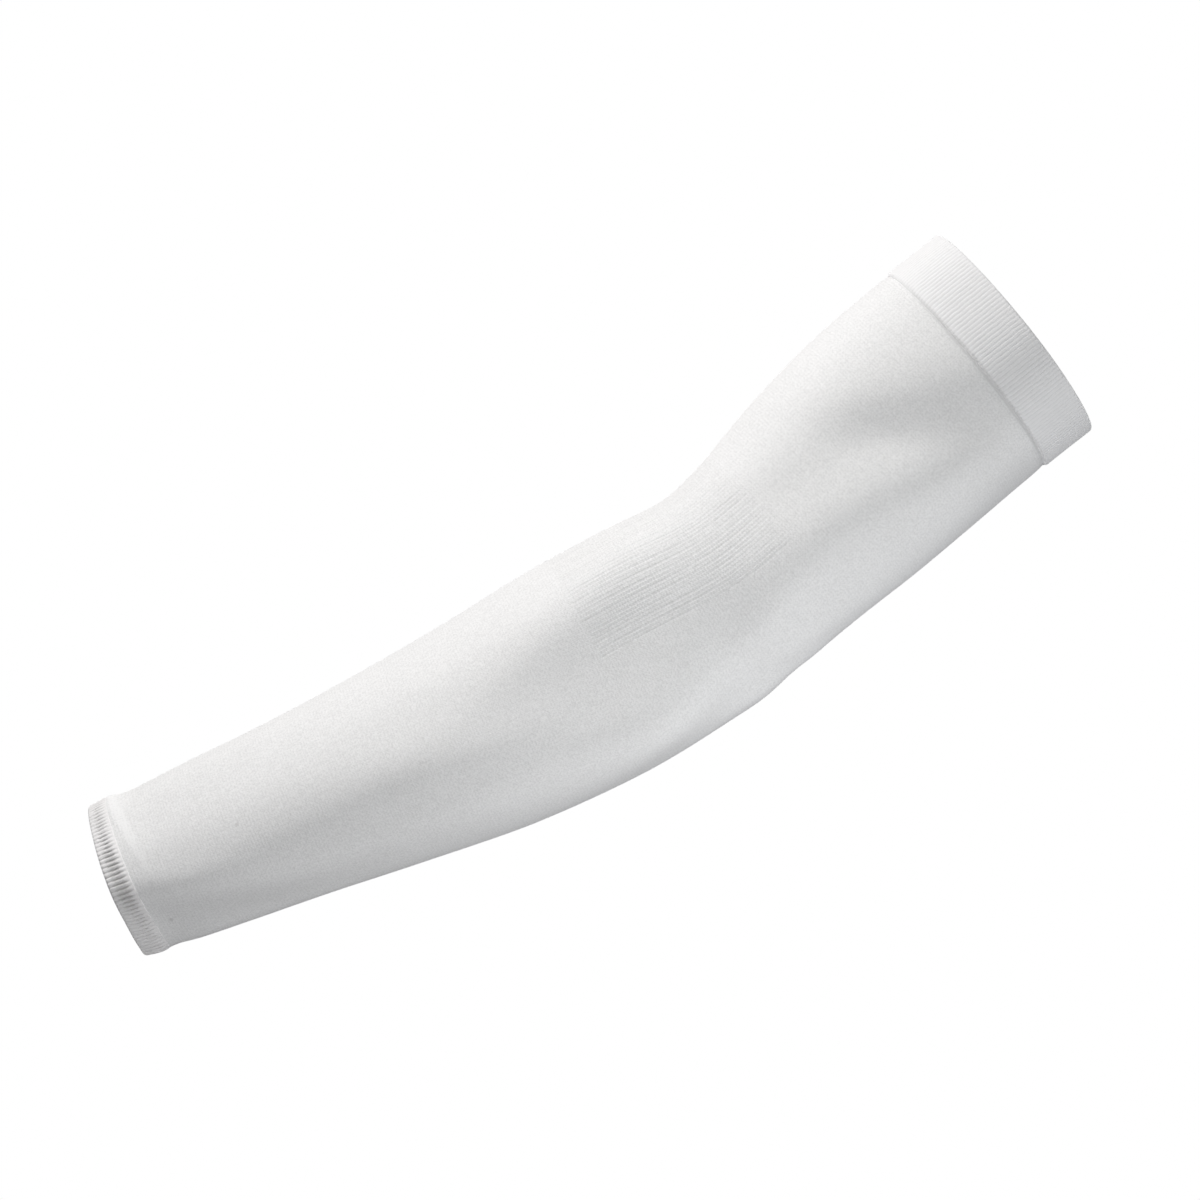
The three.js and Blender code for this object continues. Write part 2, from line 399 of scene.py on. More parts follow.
def arm_placer(band_start):
    """Tree that lays a flat pattern on the arm: x is along it, y the share of its girth, z stands off it."""
    tree, given = new_tree("lay_on_arm", {"Arm Line": "Object", "Unevenness": "Float"})
    line = add_node(tree, "GeometryNodeObjectInfo", {"Object": given["Arm Line"]}).outputs["Geometry"]
    curve = add_node(tree, "GeometryNodeMeshToCurve", {"Mesh": line}).outputs["Curve"]
    in_knit, around, lift = split(tree, tree.nodes.new("GeometryNodeInputPosition").outputs[0])
    turn = around * TAU
    slanted = in_knit.ramp(0.0, CUFF_LENGTH) * in_knit.ramp(SLANT_FADE, SLANT_END, 1.0, 0.0)
    along = in_knit - slanted * turn.maths("COSINE") * CUFF_SLANT

    def at_line(label):
        """The line's value under this name, with its place and direction there."""
        stored = add_node(tree, "GeometryNodeInputNamedAttribute", {"Name": label}, data_type="FLOAT")
        inputs = {"Curves": curve, "Value": stored.outputs["Attribute"], "Length": along}
        return add_node(tree, "GeometryNodeSampleCurve", inputs, mode="LENGTH", data_type="FLOAT").outputs

    half_height = Field(tree, at_line("half_height")["Value"])
    depth_here = at_line("half_depth")
    half_depth = Field(tree, depth_here["Value"])
    centre_x, _, centre_z = split(tree, depth_here["Position"])
    ahead_x, _, ahead_z = split(tree, depth_here["Tangent"])

    # Equal shares of an ellipse's girth are equal angles with a small correction for its flatness.
    square_height = half_height * half_height
    square_depth = half_depth * half_depth
    flatness = (square_height - square_depth) / (square_height + square_depth)
    angle = turn + (turn * 2.0).maths("SINE") * flatness * 0.25
    cosine = angle.maths("COSINE")
    sine = angle.maths("SINE")
    up_normal = cosine * half_depth
    near_normal = sine * half_height
    length = (up_normal * up_normal + near_normal * near_normal).maths("SQRT")

    ring = combine(tree, along, cosine * UNEVEN_RING, sine * UNEVEN_RING)
    uneven = (noise(tree, ring, UNEVEN_MARKS, 2.0) - 0.5) * given["Unevenness"]
    stands = (lift + fold_height(in_knit, around, band_start) + uneven) / length
    up = cosine * half_height + up_normal * stands
    near = sine * half_depth + near_normal * stands
    place = combine(tree, centre_x - ahead_z * up, near * -1.0, centre_z + ahead_x * up)
    laid = add_node(tree, "GeometryNodeSetPosition", {"Geometry": given["Geometry"], "Position": place})
    add_node(tree, "NodeGroupOutput", {"Geometry": laid.outputs["Geometry"]})
    return tree


# Knit walls

def noise_round(wale, along, marks_round, marks_along):
    """Soft random marks, so many round the girth and for each metre along, that meet at the closing."""
    tree = wale.tree
    turn = wale * TAU
    radius = marks_round / TAU
    ring = combine(tree, along * marks_along, turn.maths("COSINE") * radius, turn.maths("SINE") * radius)
    return noise(tree, ring, 1.0, 1.0)


def rib_wander(wale, along, ribs):
    """How far a rib strays sideways at a place, in shares of the step from rib to rib."""
    bends = noise_round(wale, along, ribs * BENDS_FOR_EACH_RIB, BENDS_FOR_EACH_METRE)
    return (bends - 0.5) * RIB_WANDER


def rounded_ribs(given, along, wale):
    """Uneven ribs with round crests and narrow grooves all the way round: height of the crest, and lift."""
    pull = noise_round(wale, along, given["Ribs"] * PULLS_FOR_EACH_RIB, PULLS_FOR_EACH_METRE)
    phase = wale * given["Ribs"] - rib_wander(wale, along, given["Ribs"])
    wave = (phase * math.pi).maths("COSINE").maths("ABSOLUTE")
    crest = wave ** RIB_ROUNDNESS
    return crest, (crest - RIB_MIDDLE) * spread_out(pull, 0.8, 1.2) * given["Rib Height"]


def panel_ribs(given, along, wale):
    """The elbow panel's fine grooves, deep and faint in turn, uneven and fading out at the upper end."""
    tree = wale.tree
    rib = wale * given["Ribs"]
    phase = rib * math.pi
    deep = phase.maths("SINE") ** GROOVE_SHARPNESS
    faint = phase.maths("COSINE") ** GROOVE_SHARPNESS
    ragged = noise(tree, combine(tree, rib, 0.0, 0.0), RAGGED_MARKS_FOR_EACH_RIB, 0.0)
    begins = (along + ragged * PANEL_RAGGED).ramp(PANEL_START + PANEL_BEGINS, PANEL_START + PANEL_FULL)
    ends = along.ramp(PANEL_END - PANEL_FADE, PANEL_END, 1.0, 0.0)
    inside = wale.maths("ABSOLUTE").ramp(PANEL_HALF_SHARE - PANEL_BORDER, PANEL_HALF_SHARE, 1.0, 0.0)
    window = begins * ends * inside
    pulled = combine(tree, rib * PANEL_PULLS_FOR_EACH_RIB, along * PANEL_PULLS_FOR_EACH_METRE, 0.0)
    pull = noise(tree, pulled, 1.0, 1.0)
    groove = (deep + faint * FAINT_GROOVE) * window * spread_out(pull, 0.5, 1.5)
    return groove * -1.0 + 1.0, window * given["Panel Lift"] - groove * given["Rib Height"]


def wall_tree(name, placer, relief, sizes):
    """Tree of a knit wall: every point of the wall's profile goes once round the arm, lifted by the relief.

    The profile's x is the length along, y the height off the arm and z the share of the relief. The wales
    near the crook are closer than the rest, and fan out past the elbow.
    """
    inputs = {"Arm Line": "Object", "Finish": "Material", "Crook Columns": "Int", "Elbow Columns": "Int"}
    inputs.update({label: "Float" for label in ("Crook Half Share", "Fan", "Unevenness", *sizes)})
    tree, given = new_tree(name, inputs)
    profile = given["Geometry"]
    size = add_node(tree, "GeometryNodeAttributeDomainSize", {"Geometry": profile}, component="MESH")
    rows = Field(tree, size.outputs["Point Count"])
    crook = given["Crook Columns"]
    elbow = given["Elbow Columns"]
    across = crook + elbow + 1.0
    grid = add_node(tree, "GeometryNodeMeshGrid", {"Vertices X": rows + 1.0, "Vertices Y": across})

    index = Field(tree, tree.nodes.new("GeometryNodeInputIndex").outputs[0])
    row = (index / across + ROUNDING).maths("FLOOR")
    column = index - row * across
    spot = tree.nodes.new("GeometryNodeInputPosition").outputs[0]
    picks = {"Geometry": profile, "Value": spot, "Index": row.maths("MODULO", rows)}
    on_profile = add_node(tree, "GeometryNodeSampleIndex", picks, data_type="FLOAT_VECTOR")
    along, depth, weight = split(tree, on_profile.outputs["Value"])

    half = given["Crook Half Share"]
    over_crook = (column / crook).maths("MINIMUM", 1.0) * 2.0 - 1.0
    over_elbow = ((column - crook) / elbow).maths("MAXIMUM", 0.0)
    wale = over_crook * half + over_elbow * (half * -2.0 + 1.0)
    fanned = half * (along.ramp(PANEL_START, PANEL_END) * given["Fan"] + 1.0)
    around = over_crook * fanned + over_elbow * (fanned * -2.0 + 1.0)
    crest, lift = relief(given, along, wale)

    in_knit = {"Value": combine(tree, wale, along, 0.0)}
    at_points = add_node(tree, "GeometryNodeFieldOnDomain", in_knit, data_type="FLOAT_VECTOR", domain="POINT")
    mesh = store(tree, grid.outputs["Mesh"], "flat", at_points.outputs["Value"], "FLOAT2", "CORNER")
    # The crest goes to the finish, which paints shade in the grooves.
    mesh = store(tree, mesh, "crest", (crest - 1.0) * weight + 1.0, "FLOAT", "POINT")
    flat = combine(tree, along, around, depth + lift * weight)
    pattern = add_node(tree, "GeometryNodeSetPosition", {"Geometry": mesh, "Position": flat})
    outward = add_node(tree, "GeometryNodeFlipFaces", {"Mesh": pattern.outputs["Geometry"]})
    return finish_tree(tree, outward.outputs["Mesh"], given, placer)


def wall_profile(name, rows):
    """A wall's closed profile as a loop of edges."""
    return mesh_object(name, rows, [(i, (i + 1) % len(rows)) for i in range(len(rows))])


def evenly(start, end, step):
    """Even places from start to end, about a step apart."""
    return np.linspace(start, end, max(2, round(abs(end - start) / step) + 1))


def smooth_step(value):
    """Rises smoothly from 0 to 1 while the value does, and stays level outside."""
    value = min(max(value, 0.0), 1.0)
    return value * value * (3 - 2 * value)


def body_profile(end):
    """The plain tube's wall, tucked in at both ends, with close rows there and at the panel's borders."""
    start = CUFF_LENGTH + PIECE_GAP
    close = [border + step for border in (PANEL_START, PANEL_END) for step in BORDER_ROWS]
    apart = [along for along in evenly(start, end, BODY_STEP)
             if min(abs(along - PANEL_START), abs(along - PANEL_END)) > BORDER_CLEARANCE]
    tucks = [step for near in TUCK_ROWS for step in (start + near, end - near)]
    outside = []
    for along in sorted([*apart, *close, *tucks]):
        at_cuff = CUFF_TUCK * (1 - smooth_step((along - start) / CUFF_TUCK_REACH))
        at_band = BAND_TUCK * smooth_step(1 - (end - along) / BAND_TUCK_REACH)
        outside.append((along, -at_cuff - at_band, 1.0))
    inside = [(along, -KNIT_THICKNESS, 0.0) for along in evenly(end, start, BODY_INSIDE_STEP)]
    return wall_profile("body_profile", [*outside, *inside])


def welt_outside(welt):
    """The seen side of a ribbed end, from its lip over the plain knit to its rounded fold.

    Each row is a place from the seam, a height off the arm and a share of the ribs' relief.
    """
    radius = welt["thickness"] / 2
    fold_start = welt["length"] - radius
    rows = []
    for place in evenly(-welt["overlap"], fold_start, WELT_STEP):
        rise = smooth_step((place + welt["overlap"]) / welt["rise"])
        ribs = smooth_step((place + welt["overlap"]) / welt["fade"])
        pocket = math.exp(-((place - welt["pocket_place"]) / welt["pocket_reach"]) ** 2)
        height = welt["tip"] + (welt["lift"] - welt["tip"]) * rise - welt["dip"] * pocket
        rows.append((place, height, ribs * (1 + welt["pocket"] * pocket)))
    for turn in np.linspace(0, math.pi, WELT_FOLD_ROWS)[1:-1]:
        drop = radius * (1 - math.cos(turn))
        rows.append((fold_start + radius * math.sin(turn), welt["lift"] - drop, 0.5 + 0.5 * math.cos(turn)))
    return rows


def along_the_arm(welt, rows):
    """Rows of a welt with their places turned into lengths along the sleeve."""
    return [(welt["seam"] + welt["toward"] * place, height, share) for place, height, share in rows]


def welt_profile(name, welt):
    """A ribbed end's folded wall: the lip's underside, the seen side and the plain inside."""
    inner = welt["lift"] - welt["thickness"]
    lip = [(WELT_START, welt["under"], 0.0), (-welt["overlap"], welt["under"], 0.0)]
    fold_start = welt["length"] - welt["thickness"] / 2
    inside = [(place, inner, 0.0) for place in evenly(fold_start, WELT_START, WELT_INSIDE_STEP)]
    rows = along_the_arm(welt, [*lip, *welt_outside(welt), *inside])
    return wall_profile(name, rows[::welt["toward"]])


def welt_line(name, welt):
    """The seen side of a ribbed end as a chain of edges, for its stitches to follow."""
    rows = [(along, height, 0.0) for along, height, _ in along_the_arm(welt, welt_outside(welt))]
    return mesh_object(name, rows, [(i, i + 1) for i in range(len(rows) - 1)])


# Stitches of the ribs

# Points of a stitch's leg, in shares of its course along, of the step from rib to rib aside, and of the
# yarn's radius up
LegPoint = namedtuple("LegPoint", "along aside up")
LEG_POINTS = {
    "Start": LegPoint(-0.15, 0.13, -0.40),
    "Middle": LegPoint(0.50, 0.16, 0.0),
    "End": LegPoint(1.15, 0.20, -0.40),
}


def stitch_leg(tree, given, side):
    """One leg of a V stitch: a short bent yarn, a little thinner at its ends."""
    pitch = given["Girth"] / given["Ribs"] * side
    yarn = given["Yarn"]
    bend = {"Resolution": 3}
    for label, point in LEG_POINTS.items():
        bend[label] = combine(tree, given["Course"] * point.along, pitch * point.aside, yarn * point.up)
    curve = add_node(tree, "GeometryNodeCurveQuadraticBezier", bend)
    ring = add_node(tree, "GeometryNodeCurvePrimitiveCircle", {"Resolution": 4, "Radius": yarn})
    share = Field(tree, tree.nodes.new("GeometryNodeSplineParameter").outputs["Factor"])
    return add_node(tree, "GeometryNodeCurveToMesh", {
        "Curve": curve.outputs["Curve"], "Profile Curve": ring.outputs["Curve"],
        "Scale": (share * math.pi).maths("SINE") * 0.12 + 0.88, "Fill Caps": True,
    }).outputs["Mesh"]


def stitch_tree(name, placer):
    """Tree of a ribbed end's stitches: columns of Vs on its ribs, down the seen side and round the fold."""
    inputs = {
        "Arm Line": "Object", "Seen Side": "Object", "Finish": "Material",
        "Ribs": "Int", "Courses": "Int", "Seed": "Int",
    }
    sizes = ("Girth", "Toward", "First", "Course", "Yarn", "Flatness", "Ragged", "Unevenness")
    tree, given = new_tree(name, {**inputs, **{label: "Float" for label in sizes}})
    legs = tree.nodes.new("GeometryNodeJoinGeometry")
    for side in (-1.0, 1.0):
        feed(tree, legs.inputs["Geometry"], stitch_leg(tree, given, side))
    pressed = combine(tree, 1.0, given["Girth"] ** -1.0, given["Flatness"])
    stitch = add_node(tree, "GeometryNodeTransform", {"Geometry": legs.outputs["Geometry"], "Scale": pressed})

    index = Field(tree, tree.nodes.new("GeometryNodeInputIndex").outputs[0])
    course_number = (index / given["Ribs"] + ROUNDING).maths("FLOOR")
    rib = index - course_number * given["Ribs"]
    ragged = add_node(tree, "FunctionNodeRandomValue", {
        "Min_001": given["Ragged"] * -1.0, "Max_001": given["Ragged"], "ID": rib, "Seed": given["Seed"],
    }, data_type="FLOAT")
    start = given["First"] + Field(tree, socket_of(ragged.outputs, "Value_001"))
    spot = combine(tree, start + course_number * given["Course"], rib / given["Ribs"], 0.0)
    count = given["Ribs"] * given["Courses"]
    points = add_node(tree, "GeometryNodePoints", {"Count": count, "Position": spot})
    stitches = add_node(tree, "GeometryNodeInstanceOnPoints", {
        "Points": points.outputs["Points"], "Instance": stitch.outputs["Geometry"],
    })
    knit = add_node(tree, "GeometryNodeRealizeInstances", {"Geometry": stitches.outputs["Instances"]})

    # A place in a column is a length along the seen side, and a height stands off it.
    place, around, height = split(tree, tree.nodes.new("GeometryNodeInputPosition").outputs[0])
    side_line = add_node(tree, "GeometryNodeObjectInfo", {"Object": given["Seen Side"]}).outputs["Geometry"]
    side_curve = add_node(tree, "GeometryNodeMeshToCurve", {"Mesh": side_line}).outputs["Curve"]
    picks = {"Curves": side_curve, "Length": place}
    there = add_node(tree, "GeometryNodeSampleCurve", picks, mode="LENGTH").outputs
    side_along, side_lift, _ = split(tree, there["Position"])
    ahead_along, ahead_lift, _ = split(tree, there["Tangent"])
    off = height * given["Toward"]
    along = side_along - ahead_lift * off
    lift = side_lift + ahead_along * off
    around = around + rib_wander(around, along, given["Ribs"]) / given["Ribs"]

    flat = combine(tree, around, along, 0.0)
    mesh = store(tree, knit.outputs["Geometry"], "flat", flat, "FLOAT2", "CORNER")
    # The stitches' low parts get painted shade through their crest.
    crest = (height / (given["Yarn"] * given["Flatness"])).ramp(-1.0, 0.8)
    mesh = store(tree, mesh, "crest", crest, "FLOAT", "POINT")
    pattern = add_node(tree, "GeometryNodeSetPosition", {
        "Geometry": mesh, "Position": combine(tree, along, around, lift),
    })
    outward = add_node(tree, "GeometryNodeFlipFaces", {
        "Mesh": pattern.outputs["Geometry"], "Selection": given["Toward"].maths("GREATER_THAN", 0.0),
    })
    return finish_tree(tree, outward.outputs["Mesh"], given, placer)


# Finishes

# Random marks of the yarn for each metre, from coarse to fine
CLOUDS_PER_METRE = 40.0
TUFTS_PER_METRE = 300.0
LOOPS_PER_METRE = 1300.0
FIBRES_PER_METRE = 2600.0

# Heights of the yarn's relief in millimetres, and how far a plain stitch's legs slant, in courses
YARN_RELIEF = 0.03
LOOP_RELIEF = 0.04
FIBRE_RELIEF = 0.01
LEG_SLANT = 0.6

# Painted shade: the tube is darker in a strip that ends at the band, as the band lip's shadow. Painted
# highlight: the tube is whiter on the roll after the cuff.
PAINTED_SHADE_START = 0.0020
PAINTED_SHADE_FULL = 0.0006
PAINTED_SHADE_DEPTH = 0.8
ROLL_PAINTED_HIGHLIGHT = 0.35

# A row of painted shade round a ribbed end, as shadow at the band's seam or in the cuff's pockets: its place
# along and reach, its shade all round, and how much more shade it has in a stretch of the near side, which
# has its middle and half width in shares of the girth.
PaintedShadeRow = namedtuple("PaintedShadeRow", "along reach dullness near_dullness middle half_width")
SEAM_SHADE_MIDDLE = 0.28
SEAM_SHADE_HALF_WIDTH = 0.22


def near_share(around, middle, half_width):
    """Falls from 1 in the middle of a stretch of the girth to 0 at its ends."""
    return ((around - middle) * TAU).maths("COSINE").ramp(math.cos(half_width * TAU), 1.0)


def mixed_colour(tree, share, low, high):
    """A colour between two, by a share from 0 to 1."""
    inputs = {"Factor_Float": share, "A_Color": low, "B_Color": high}
    node = add_node(tree, "ShaderNodeMix", inputs, data_type="RGBA")
    return socket_of(node.outputs, "Result_Color")


def soft_yarn(name):
    """A matt textile finish with a soft sheen.

    Gives its material, tree and shader, the place on the piece, and the height on a rib.
    """
    material = bpy.data.materials.new(name)
    material.use_nodes = True
    tree = material.node_tree
    surface = tree.nodes["Principled BSDF"]
    surface.inputs["Specular IOR Level"].default_value = 0.2
    surface.inputs["Sheen Weight"].default_value = 0.12
    surface.inputs["Sheen Roughness"].default_value = 0.5
    place = tree.nodes.new("ShaderNodeTexCoord").outputs["Object"]
    crest = Field(tree, add_node(tree, "ShaderNodeAttribute", attribute_name="crest").outputs["Fac"])
    return material, tree, surface, place, crest


def relief_in_millimetres(tree, surface, height):
    """Gives the shader a bump of this height."""
    bump = add_node(tree, "ShaderNodeBump", {"Height": height, "Distance": 0.001})
    feed(tree, surface.inputs["Normal"], bump.outputs["Normal"])


def plain_knit(name, bright, dull, wales, course, seam):
    """The tube's fine plain knit: V stitches in low relief, uneven loops, a soft white and two dull specks.

    It has a painted shadow next to the band's seam, a painted highlight on the roll after the cuff and
    painted shade in the panel's grooves.
    """
    material, tree, surface, place, crest = soft_yarn(name)
    around, along, _ = split(tree, add_node(tree, "ShaderNodeUVMap", uv_map="flat").outputs["UV"])
    leg = ((around * wales).maths("FRACT") - 0.5).maths("ABSOLUTE") * 2.0
    row = (along / course + leg * LEG_SLANT).maths("FRACT")
    across_yarn = ((row - 0.5) * 2.0) ** 2.0
    across_leg = ((leg - 0.5) * 2.0) ** 2.0
    yarn = (across_yarn * -1.0 + 1.0) * (across_leg * -1.0 + 1.0)
    loops = noise(tree, place, LOOPS_PER_METRE, 1.0)
    clouds = noise(tree, place, CLOUDS_PER_METRE, 2.0)
    relief_in_millimetres(tree, surface, yarn * YARN_RELIEF + loops * LOOP_RELIEF)

    # The tone goes from 0, dull, to 1, bright.
    # Painted shade: the crest term makes the panel's grooves darker.
    tone = (yarn - 0.45) * 0.3 + (loops - 0.5) * 1.3 + (clouds - 0.5) * 0.2 + crest * 0.12 + 0.43
    # Painted shadow of the band's lip: a darker strip next to the seam, strongest on the near side.
    shaded = near_share(around, SEAM_SHADE_MIDDLE, SEAM_SHADE_HALF_WIDTH)
    tone = tone - along.ramp(seam - PAINTED_SHADE_START, seam - PAINTED_SHADE_FULL, 0.0, PAINTED_SHADE_DEPTH) * shaded
    # Painted highlight: a whiter tone on the roll after the cuff, where the light catches it.
    off_roll = square_distance(FOLDS["roll after the cuff"], along, around)
    tone = tone + off_roll.ramp(0.0, 1.6, ROLL_PAINTED_HIGHLIGHT, 0.0)
    speck = along * 0.0
    for mark in SPECKS.values():
        beside = (around - mark.around) * SPECK_GIRTH
        beyond = along - mark.along
        distance = (beside * beside + beyond * beyond).maths("SQRT")
        speck = speck + distance.ramp(mark.radius * 0.3, mark.radius, mark.strength, 0.0)
    white = mixed_colour(tree, tone.ramp(0.0, 1.0), (*dull, 1.0), (*bright, 1.0))
    feed(tree, surface.inputs["Base Color"], mixed_colour(tree, speck, white, (*SPECK_COLOUR, 1.0)))
    feed(tree, surface.inputs["Roughness"], spread_out(loops, 0.96, 0.84))
    return material


def ribbed_yarn(name, bright, dull, dullest, grain, row):
    """The ribs' thicker yarn: fine fibres, uneven loops, painted shade in the grooves and in one row round
    it.
    """
    material, tree, surface, place, crest = soft_yarn(name)
    around, along, _ = split(tree, add_node(tree, "ShaderNodeUVMap", uv_map="flat").outputs["UV"])
    # Painted shade in one row round the end, deepest in a stretch of the near side.
    dullness = near_share(around, row.middle, row.half_width) * row.near_dullness + row.dullness
    painted_row_shade = (along - row.along).maths("ABSOLUTE").ramp(row.reach * 0.3, row.reach, 1.0, 0.0) * dullness
    fibres = noise(tree, place, FIBRES_PER_METRE, 2.0)
    tufts = noise(tree, place, TUFTS_PER_METRE, 3.0)
    loops = noise(tree, place, LOOPS_PER_METRE, 1.0)
    relief_in_millimetres(tree, surface, fibres * FIBRE_RELIEF)

    # The tone goes from the dullest, dull, to 0.85, bright.
    # Painted shade: the yarn is darker where its crest is low, down in the grooves and between the stitches.
    tone = crest * 0.7 + tufts * 0.3 + fibres * 0.1 + (loops - 0.5) * grain - painted_row_shade
    yarn_colour = mixed_colour(tree, tone.ramp(dullest, 0.85), (*dull, 1.0), (*bright, 1.0))
    feed(tree, surface.inputs["Base Color"], yarn_colour)
    feed(tree, surface.inputs["Roughness"], spread_out(fibres, 0.95, 0.85))
    return material


def floor_finish():
    """A pale floor with faint clouds."""
    material = bpy.data.materials.new("pale_floor")
    material.use_nodes = True
    tree = material.node_tree
    place = tree.nodes.new("ShaderNodeTexCoord").outputs["Object"]
    tone = spread_out(noise(tree, place, 3.0, 2.0), 0.86, 0.9)
    surface = tree.nodes["Principled BSDF"]
    feed(tree, surface.inputs["Base Color"], combine(tree, tone, tone, tone))
    surface.inputs["Roughness"].default_value = 0.8
    return material


# Pieces

line, sleeve_length = arm_line()
band_start = sleeve_length - BAND_LENGTH
body_end = band_start - PIECE_GAP
placer = arm_placer(band_start)

body_knit = plain_knit(
    "body_knit", bright=(0.945, 0.945, 0.94), dull=(0.765, 0.765, 0.76), wales=190.0, course=0.0012,
    seam=body_end)
# Painted shadow under the band's lip at its seam, mostly on the near side.
band_seam_shade = PaintedShadeRow(
    along=band_start - 0.0010, reach=0.0016, dullness=0.05, near_dullness=0.9,
    middle=SEAM_SHADE_MIDDLE, half_width=SEAM_SHADE_HALF_WIDTH)
band_knit = ribbed_yarn(
    "band_knit", bright=(0.900, 0.898, 0.897), dull=(0.74, 0.738, 0.737), dullest=-0.12, grain=0.5,
    row=band_seam_shade)
# Painted shade in the cuff's pockets next to its seam, most in a stretch of the near side.
cuff_pocket_shade = PaintedShadeRow(
    along=0.0050, reach=0.0040, dullness=0.1, near_dullness=0.6, middle=0.24, half_width=0.10)
# The cuff's dark dull colour paints shade deep in its grooves.
cuff_knit = ribbed_yarn(
    "cuff_knit", bright=(0.890, 0.881, 0.877), dull=(0.56, 0.550, 0.544), dullest=-0.6, grain=0.9,
    row=cuff_pocket_shade)

# Ribbed ends: where the seam is, which way the end goes from it, the lip over the plain knit with its tip and
# rise, the length over which the ribs begin, a dip with deeper pockets between the ribs, and the ribs' girth.
BAND_WELT = {
    "seam": band_start, "toward": 1, "length": BAND_LENGTH, "thickness": BAND_THICKNESS, "lift": BAND_LIFT,
    "overlap": 0.0010, "under": -0.0004, "tip": -0.00035, "rise": 0.0015, "fade": 0.0010,
    "dip": 0.0, "pocket": 0.0, "pocket_place": 0.0, "pocket_reach": 1.0,
    "ribs": BAND_RIBS, "girth": 0.2776,
}
CUFF_WELT = {
    "seam": CUFF_LENGTH, "toward": -1, "length": CUFF_LENGTH, "thickness": CUFF_THICKNESS, "lift": CUFF_LIFT,
    "overlap": 0.0032, "under": -0.0003, "tip": -0.00004, "rise": 0.0050, "fade": 0.0022,
    "dip": 0.0003, "pocket": 1.1, "pocket_place": 0.0014, "pocket_reach": 0.0020,
    "ribs": CUFF_RIBS, "girth": 0.1860,
}


def knit_tube():
    """The plain tube with the elbow panel."""
    tree = wall_tree("knit_tube_wall", placer, panel_ribs, ("Ribs", "Rib Height", "Panel Lift"))
    return grown("knit_tube", body_profile(body_end), tree, {
        "Arm Line": line, "Finish": body_knit, "Unevenness": UNEVENNESS,
        "Crook Columns": COLUMNS_FOR_A_PANEL_RIB * PANEL_RIBS, "Elbow Columns": ELBOW_COLUMNS,
        "Crook Half Share": PANEL_HALF_SHARE, "Fan": PANEL_FAN, "Ribs": PANEL_RIBS / (2 * PANEL_HALF_SHARE),
        "Rib Height": PANEL_RIB_HEIGHT, "Panel Lift": PANEL_LIFT,
    })


def welt_wall(name, welt, finish, rib_height):
    """A ribbed end's folded wall, with half of its columns on the crook's side."""
    half = COLUMNS_FOR_A_RIB * welt["ribs"] // 2
    tree = wall_tree(f"{name}_wall", placer, rounded_ribs, ("Ribs", "Rib Height"))
    return grown(name, welt_profile(f"{name}_profile", welt), tree, {
        "Arm Line": line, "Finish": finish, "Unevenness": UNEVENNESS,
        "Crook Columns": half, "Elbow Columns": half, "Crook Half Share": 0.25, "Fan": 0.0,
        "Ribs": float(welt["ribs"]), "Rib Height": rib_height,
    })


def welt_stitches(name, welt, finish, first, course, courses, yarn, flatness, ragged):
    """The columns of V stitches on a ribbed end."""
    start = mesh_object(f"{name}_start", [(0, 0, 0)], [])
    seen_side = welt_line(f"{name}_line", welt)
    made = grown(name, start, stitch_tree(f"{name}_columns", placer), {
        "Arm Line": line, "Seen Side": seen_side, "Finish": finish, "Unevenness": UNEVENNESS,
        "Ribs": welt["ribs"], "Courses": courses, "Girth": welt["girth"], "Toward": float(welt["toward"]),
        "First": first, "Course": course, "Yarn": yarn, "Flatness": flatness, "Ragged": ragged, "Seed": 7,
    })
    bpy.data.objects.remove(seen_side)
    return made


body = knit_tube()
band = welt_wall("welt_band", BAND_WELT, band_knit, BAND_RIB_HEIGHT)
band_stitches = welt_stitches(
    "band_stitches", BAND_WELT, band_knit, first=0.0007, course=0.00135, courses=18, yarn=0.00030,
    flatness=0.25, ragged=0.0001)
cuff = welt_wall("ribbed_cuff", CUFF_WELT, cuff_knit, CUFF_RIB_HEIGHT)
cuff_stitches = welt_stitches(
    "cuff_stitches", CUFF_WELT, cuff_knit, first=0.0038, course=0.00125, courses=5, yarn=0.00030,
    flatness=0.5, ragged=0.0006)
bpy.data.objects.remove(line)

for piece, node, finish in (
    (body, "sleeve_body", "body_knit"), (band, "upper_band", "band_knit"), (cuff, "wrist_cuff", "cuff_knit"),
):
    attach(piece, "root")
    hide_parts(node)
for piece, finish in ((band_stitches, "band_knit"), (cuff_stitches, "cuff_knit")):
    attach(piece, "root")

# Camera at the photo's angle: level, looking along +Y, turned so that the sleeve slopes up to the right
SLOPE = math.radians(31.1)
VIEW_CENTRE = Vector((-0.1946, 0.0, -0.0060))
VIEW_DISTANCE = 1.35
FRAME_WIDTH = 0.474
SENSOR_WIDTH = 36.0

camera = bpy.data.objects.new("camera", bpy.data.cameras.new("camera"))
bpy.context.scene.collection.objects.link(camera)
camera.data.sensor_width = SENSOR_WIDTH
camera.data.lens = SENSOR_WIDTH * VIEW_DISTANCE / FRAME_WIDTH
right = Vector((math.cos(SLOPE), 0.0, -math.sin(SLOPE)))
top = Vector((math.sin(SLOPE), 0.0, math.cos(SLOPE)))
back = Vector((0.0, -1.0, 0.0))
facing = Matrix((right, top, back)).transposed().to_4x4()
camera.matrix_world = Matrix.Translation(VIEW_CENTRE + VIEW_DISTANCE * back) @ facing
bpy.context.scene.camera = camera


# Stage: a pale floor well below the sleeve, a white surround and soft lights

WHITE = (1.0, 1.0, 1.0)
FLOOR_PLACE = Vector((-0.2, 0.0, -1.4))
FLOOR_RADIUS = 0.5
FLOOR_LIGHT_HEIGHT = 0.5
FLOOR_LIGHT_POWER = 16.0
SURROUND_STRENGTH = 0.01


